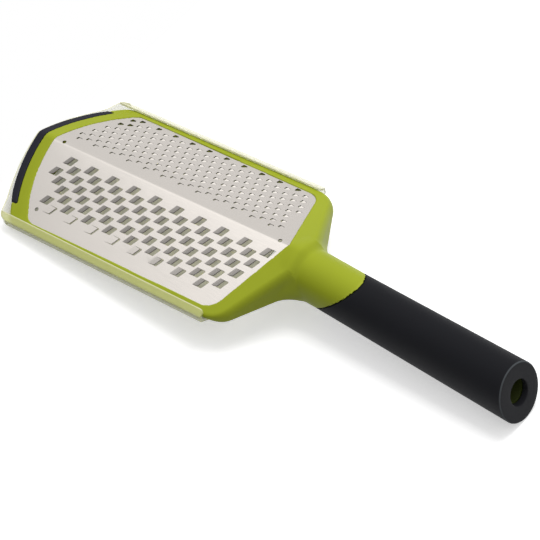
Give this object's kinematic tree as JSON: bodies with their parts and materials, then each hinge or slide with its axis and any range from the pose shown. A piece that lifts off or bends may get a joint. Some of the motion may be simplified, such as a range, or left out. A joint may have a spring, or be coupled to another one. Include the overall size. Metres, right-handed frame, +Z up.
{
  "type": "paddle grater",
  "caption": "Hand-held paddle grater: folded steel blade with coarse and fine slopes, slide-on clear guard, and a round handle that twists on a slanted joint.",
  "frame": {"origin": "on the table under the middle of the whole grater as it lies in the picture", "axes": "+X from the tip towards the handle's end, +Y across towards the fine teeth, +Z up"},
  "size_m": [0.3164, 0.1038, 0.0377],
  "materials": {
    "lime_plastic": "satin moulded lime green",
    "core_plastic": "moulded lime green",
    "stainless_steel": "bright rolled sheet",
    "soft_strip": "matt soft strip",
    "soft_grip": "matt soft grip",
    "clear_plastic": "clear moulded",
    "brass": "knurled insert",
    "plain_steel": "plain"
  },
  "bodies": {
    "head": {"head_frame": "lime_plastic", "grating_blade": "stainless_steel", "tip_pad": "soft_strip", "pivot_insert": "brass", "pivot_screw": "plain_steel", "pivot_washer": "plain_steel"},
    "guard": {"blade_guard": "clear_plastic"},
    "handle": {"handle_core": "core_plastic", "grip_sleeve": "soft_grip", "pivot_spring": "plain_steel", "detent_ball_upper": "plain_steel", "detent_ball_lower": "plain_steel", "detent_spring_upper": "plain_steel", "detent_spring_lower": "plain_steel", "stop_pin": "plain_steel"}
  },
  "joints": [
    {"name": "handle_twist", "type": "hinge", "parent": "head", "child": "handle", "pos_m": [0.04758, 0, 0.02056], "axis": [0.6704, 0, -0.742], "range_deg": [0, 180]},
    {"name": "guard_slide", "type": "slide", "parent": "head", "child": "guard", "axis": [-0.996, 0, -0.0889], "range_m": [0, 0.165]}
  ]
}
